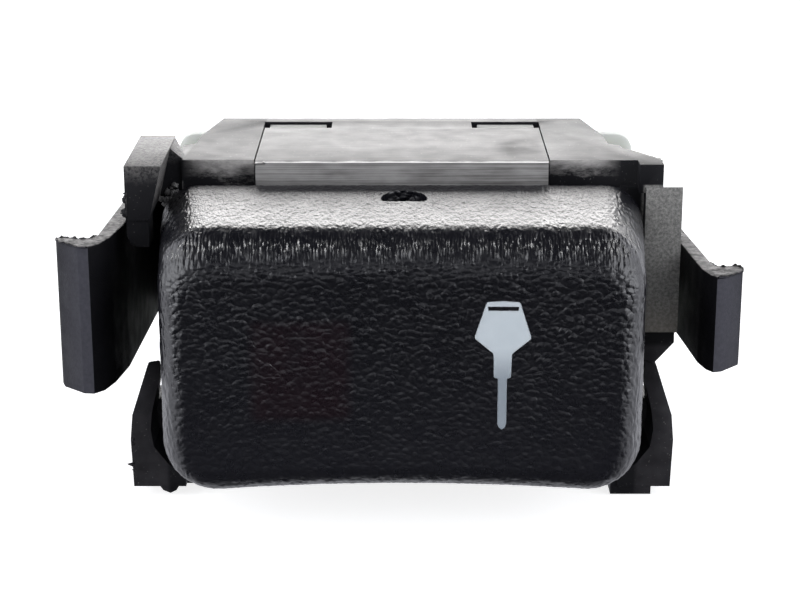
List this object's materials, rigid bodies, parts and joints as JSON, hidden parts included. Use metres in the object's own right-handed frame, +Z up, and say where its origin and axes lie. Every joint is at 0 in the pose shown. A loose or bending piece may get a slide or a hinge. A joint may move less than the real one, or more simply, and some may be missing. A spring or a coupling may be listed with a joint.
{
  "type": "rocker switch",
  "caption": "Wide black two-way rocker switch with a lit key pictogram and sprung side wings, which snaps into a panel; blade terminals in a socket at the rear.",
  "frame": {"origin": "under the middle of the switch, on the surface that it stands on", "axes": "+X to the right, +Y from the cap's face back to the terminals, +Z up; the cap faces -Y"},
  "size_m": [0.0644, 0.0454, 0.0338],
  "materials": {
    "cap_black": "leather grain, semi-matt black",
    "housing_black": "fine stippled black, as moulded",
    "inner_black": "smooth black",
    "symbol_white": "translucent bluish white",
    "filter_red": "translucent dark red",
    "guide_clear": "clear, polished",
    "lamp_glass": "clear glass bulb",
    "base_nylon": "natural white nylon",
    "plunger_nylon": "smooth white nylon",
    "spring_steel": "drawn spring wire",
    "terminal_brass": "stamped brass",
    "contact_copper": "copper alloy strip"
  },
  "bodies": {
    "housing": {"front_housing": "housing_black", "rear_base": "base_nylon", "light_divider": "inner_black", "left_upper_terminal": "terminal_brass", "left_common_terminal": "terminal_brass", "left_lower_terminal": "terminal_brass", "right_upper_terminal": "terminal_brass", "right_common_terminal": "terminal_brass", "right_lower_terminal": "terminal_brass", "lamp_feed_terminal": "terminal_brass", "lamp_ground_terminal": "terminal_brass", "symbol_lamp": "lamp_glass", "indicator_lamp": "lamp_glass", "symbol_lamp_holder": "inner_black", "indicator_lamp_holder": "inner_black"},
    "rocker": {"rocker_cap": "cap_black", "key_symbol_lens": "symbol_white", "indicator_filter": "filter_red", "rocker_carrier": "inner_black", "symbol_light_guide": "guide_clear", "indicator_light_guide": "guide_clear", "left_plunger_spring": "spring_steel", "right_plunger_spring": "spring_steel"},
    "left_plunger": {"left_plunger": "plunger_nylon"},
    "right_plunger": {"right_plunger": "plunger_nylon"},
    "left_contact": {"left_contact_rocker": "contact_copper"},
    "right_contact": {"right_contact_rocker": "contact_copper"},
    "left_wing": {"left_wing_clip": "housing_black"},
    "right_wing": {"right_wing_clip": "housing_black"}
  },
  "joints": [
    {"name": "rocker_tilt", "type": "hinge", "parent": "housing", "child": "rocker", "pos_m": [0, 0.0023, 0.0173], "axis": [1, 0, 0], "range_deg": [-5, 5], "stiffness_Nm_per_rad": 0.15},
    {"name": "left_plunger_slide", "type": "slide", "parent": "rocker", "child": "left_plunger", "axis": [0, -1, 0], "range_m": [0, 0.0008], "stiffness_N_per_m": 20, "deforming": ["left_plunger_spring"]},
    {"name": "left_contact_tilt", "type": "hinge", "parent": "housing", "child": "left_contact", "pos_m": [-0.0144, 0.0092, 0.0173], "axis": [1, 0, 0], "range_deg": [-5, 5]},
    {"name": "right_plunger_slide", "type": "slide", "parent": "rocker", "child": "right_plunger", "axis": [0, -1, 0], "range_m": [0, 0.0008], "stiffness_N_per_m": 20, "deforming": ["right_plunger_spring"]},
    {"name": "right_contact_tilt", "type": "hinge", "parent": "housing", "child": "right_contact", "pos_m": [0.0144, 0.0092, 0.0173], "axis": [1, 0, 0], "range_deg": [-5, 5]},
    {"name": "left_wing_flex", "type": "hinge", "parent": "housing", "child": "left_wing", "pos_m": [-0.0202, 0.0119, 0.0173], "axis": [0, 0, 1], "range_deg": [0, 1.4], "stiffness_Nm_per_rad": 0.02},
    {"name": "right_wing_flex", "type": "hinge", "parent": "housing", "child": "right_wing", "pos_m": [0.0202, 0.0119, 0.0173], "axis": [0, 0, -1], "range_deg": [0, 1.4], "stiffness_Nm_per_rad": 0.02}
  ],
  "couplings": [
    {"joint": "left_contact_tilt", "follows": "rocker_tilt", "ratio": -1},
    {"joint": "right_contact_tilt", "follows": "rocker_tilt", "ratio": -1}
  ]
}
